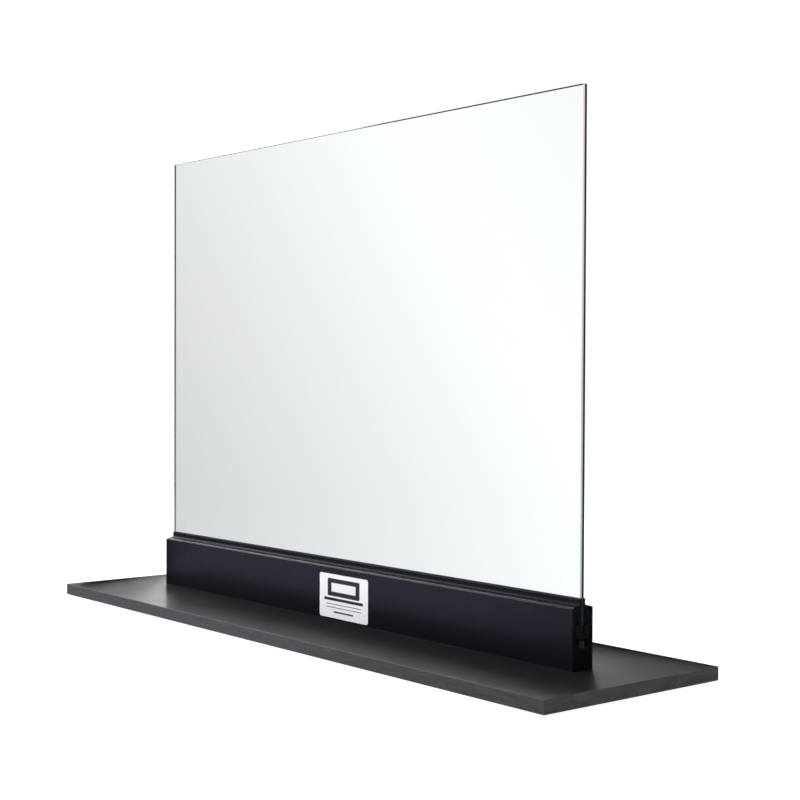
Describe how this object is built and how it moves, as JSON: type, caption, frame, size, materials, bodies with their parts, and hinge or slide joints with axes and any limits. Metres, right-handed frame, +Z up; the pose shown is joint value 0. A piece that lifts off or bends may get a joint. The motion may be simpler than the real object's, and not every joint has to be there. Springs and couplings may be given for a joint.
{
  "type": "sneeze guard",
  "caption": "Clear glass sneeze guard held in a black aluminium base shoe on a black laminated board, for a counter top.",
  "frame": {"origin": "bottom centre of the whole guard, in the plane of the feet", "axes": "+X along the screen, +Y from the customer's side to the server's side, +Z up"},
  "size_m": [1.095, 0.291, 0.7025],
  "materials": {
    "clear_glass": "polished",
    "black_anodised": "satin black anodised",
    "black_laminate": "satin laminate",
    "edge_banding": "fine grain",
    "particle_core": "raw chipboard",
    "gasket_rubber": "extruded",
    "liner_vinyl": "extruded",
    "block_plastic": "moulded",
    "shim_plastic": "moulded",
    "zinc_steel": "zinc plated",
    "foam_tape": "foam",
    "foot_rubber": "moulded",
    "clear_adhesive": "smooth",
    "label_vinyl": "satin"
  },
  "bodies": {
    "root": {"board_core": "particle_core", "board_top_facing": "black_laminate", "board_bottom_facing": "black_laminate", "edge_band_front": "edge_banding", "edge_band_rear": "edge_banding", "edge_band_left": "edge_banding", "edge_band_right": "edge_banding", "base_shoe": "black_anodised", "front_cladding": "black_anodised", "rear_cladding": "black_anodised", "front_cladding_tape": "foam_tape", "rear_cladding_tape": "foam_tape", "glass_panel": "clear_glass", "front_gasket": "gasket_rubber", "rear_gasket": "gasket_rubber", "glass_boot": "liner_vinyl", "setting_blocks": "block_plastic", "front_shims": "shim_plastic", "rear_shims": "shim_plastic", "shoe_screws": "zinc_steel", "screw_washers": "zinc_steel", "rubber_feet": "foot_rubber", "foot_adhesive": "clear_adhesive", "label": "label_vinyl"}
  },
  "joints": []
}
